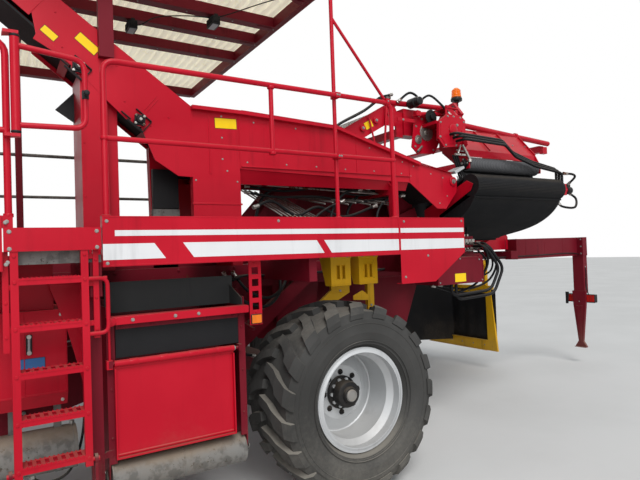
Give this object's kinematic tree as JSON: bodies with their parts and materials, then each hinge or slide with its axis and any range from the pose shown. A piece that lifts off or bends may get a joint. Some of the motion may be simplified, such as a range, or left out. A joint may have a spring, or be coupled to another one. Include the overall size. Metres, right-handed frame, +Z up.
{
  "type": "potato harvester",
  "caption": "Trailed two-row potato harvester with offset digging unit, picking table under a canopy, rear finger belts and a bunker with a folding overloading boom.",
  "frame": {"origin": "middle of the hitch eye's bore", "axes": "+X to the front along the machine, +Y to its left side, +Z up"},
  "size_m": [11.485, 3.28, 3.7374],
  "materials": {
    "red_paint": "gloss paint, weathered",
    "dark_red_paint": "gloss paint, dirty",
    "yellow_paint": "gloss paint",
    "black_paint": "satin",
    "silver_paint": "satin",
    "grey_paint": "dusty",
    "bare_steel": "worn",
    "tread_rubber": "dusty",
    "belt_rubber": "matt",
    "cream_sheet": "translucent corrugated sheet",
    "amber_lens": "clear lens",
    "lamp_black": "satin",
    "hose_rubber": "semi gloss"
  },
  "bodies": {
    "root": {"chassis_frame": "dark_red_paint", "axle_beam": "dark_red_paint", "side_panel": "red_paint", "platform_left": "grey_paint", "railing_left": "red_paint", "ladder": "red_paint", "platform_right": "grey_paint", "picking_table": "red_paint", "elevator": "red_paint", "sorting_belts": "belt_rubber", "canopy_frame": "dark_red_paint", "canopy_sheets": "cream_sheet", "lamps": "lamp_black", "beacon": "amber_lens", "bunker": "red_paint", "bunker_belt": "belt_rubber", "trash_hopper": "dark_red_paint", "trash_roller": "grey_paint", "rubber_flaps": "belt_rubber", "oil_tank": "red_paint", "air_tank": "grey_paint", "web_frame": "dark_red_paint", "main_web": "bare_steel", "separator_frame": "red_paint", "finger_belts": "belt_rubber", "deflector_hood": "red_paint", "light_carrier": "dark_red_paint", "curtain_frame": "yellow_paint", "wheel_chocks": "yellow_paint", "valve_block": "dark_red_paint", "hoses": "hose_rubber"},
    "wheel_left": {"tyre_left": "tread_rubber", "rim_left": "silver_paint"},
    "wheel_right": {"tyre_right": "tread_rubber", "rim_right": "silver_paint"},
    "drawbar": {"drawbar": "red_paint", "hitch_eye": "bare_steel"},
    "jack": {"jack_leg": "grey_paint"},
    "steer_barrel": {"steer_barrel": "black_paint"},
    "steer_rod": {"steer_rod": "bare_steel"},
    "gate": {"gate": "red_paint"},
    "folding_step": {"folding_step": "dark_red_paint"},
    "boom": {"boom": "red_paint", "boom_belt": "belt_rubber"},
    "boom_barrel": {"boom_barrel": "black_paint"},
    "boom_rod": {"boom_rod": "bare_steel"},
    "trash_door": {"trash_door": "red_paint"},
    "digging_unit": {"digging_frame": "dark_red_paint", "digging_web": "bare_steel", "shares": "bare_steel"},
    "disc_coulters": {"disc_coulters": "bare_steel"},
    "diabolo_rollers": {"diabolo_rollers": "grey_paint"},
    "lift_barrel": {"lift_barrel": "black_paint"},
    "lift_rod": {"lift_rod": "bare_steel"}
  },
  "joints": [
    {"name": "wheel_left_spin", "type": "hinge", "parent": "root", "child": "wheel_left", "pos_m": [-6.4, 1.34, 0.185], "axis": [0, 1, 0], "continuous": true},
    {"name": "wheel_right_spin", "type": "hinge", "parent": "root", "child": "wheel_right", "pos_m": [-6.4, -1.34, 0.185], "axis": [0, 1, 0], "continuous": true},
    {"name": "drawbar_steer", "type": "hinge", "parent": "root", "child": "drawbar", "pos_m": [-1.95, 0.69, 0.42], "axis": [0, 0, 1], "range_deg": [-12, 45]},
    {"name": "steer_barrel_swing", "type": "hinge", "parent": "root", "child": "steer_barrel", "pos_m": [-1.99, -0.43, 0.4043], "axis": [0, 0, 1], "range_deg": [-1.68, 4.91]},
    {"name": "steer_rod_slide", "type": "slide", "parent": "steer_barrel", "child": "steer_rod", "axis": [0.4966, 0.868, 0], "range_m": [-0.1101, 0.399]},
    {"name": "jack_slide", "type": "slide", "parent": "drawbar", "child": "jack", "axis": [0, 0, 1], "range_m": [0, 0.42]},
    {"name": "digging_lift", "type": "hinge", "parent": "root", "child": "digging_unit", "pos_m": [-5.4, 0, 0.48], "axis": [0, 1, 0], "range_deg": [0, 15]},
    {"name": "lift_barrel_swing", "type": "hinge", "parent": "root", "child": "lift_barrel", "pos_m": [-3.96, 0, 0.9], "axis": [0, 1, 0], "range_deg": [-0.5, 6.34]},
    {"name": "lift_rod_slide", "type": "slide", "parent": "lift_barrel", "child": "lift_rod", "axis": [0, 0, -1], "range_m": [-0.005, 0.376]},
    {"name": "disc_spin", "type": "hinge", "parent": "digging_unit", "child": "disc_coulters", "pos_m": [-3.09, 0, 0.17], "axis": [0, 1, 0], "continuous": true},
    {"name": "diabolo_spin", "type": "hinge", "parent": "digging_unit", "child": "diabolo_rollers", "pos_m": [-2.67, 0, 0.31], "axis": [0, 1, 0], "continuous": true},
    {"name": "step_fold", "type": "hinge", "parent": "root", "child": "folding_step", "pos_m": [-4.488, 1.58, 0.18], "axis": [1, 0, 0], "range_deg": [0, 165]},
    {"name": "trash_door_swing", "type": "hinge", "parent": "root", "child": "trash_door", "pos_m": [-5.2, 1.476, 0.638], "axis": [1, 0, 0], "range_deg": [0, 80]},
    {"name": "gate_swing", "type": "hinge", "parent": "root", "child": "gate", "pos_m": [-4.35, 1.617, 2.02], "axis": [0, 0, 1], "range_deg": [0, 88]},
    {"name": "boom_fold", "type": "hinge", "parent": "root", "child": "boom", "pos_m": [-2.9, 1.125, 1.2], "axis": [-1, 0, 0], "range_deg": [0, 75]},
    {"name": "boom_barrel_swing", "type": "hinge", "parent": "root", "child": "boom_barrel", "pos_m": [-1.519, 0.33, 1.28], "axis": [-1, 0, 0], "range_deg": [-0.5, 30.18]},
    {"name": "boom_rod_slide", "type": "slide", "parent": "boom_barrel", "child": "boom_rod", "axis": [0, 0.8834, 0.4686], "range_m": [-0.005, 0.3456]}
  ],
  "couplings": [
    {"joint": "steer_barrel_swing", "follows": "drawbar_steer", "ratio": 0.0981},
    {"joint": "steer_rod_slide", "follows": "drawbar_steer", "m_per_rad": 0.50166},
    {"joint": "lift_barrel_swing", "follows": "digging_lift", "ratio": 0.38931},
    {"joint": "lift_rod_slide", "follows": "digging_lift", "m_per_rad": 1.4172},
    {"joint": "boom_barrel_swing", "follows": "boom_fold", "ratio": 0.39567},
    {"joint": "boom_rod_slide", "follows": "boom_fold", "m_per_rad": 0.2602}
  ]
}
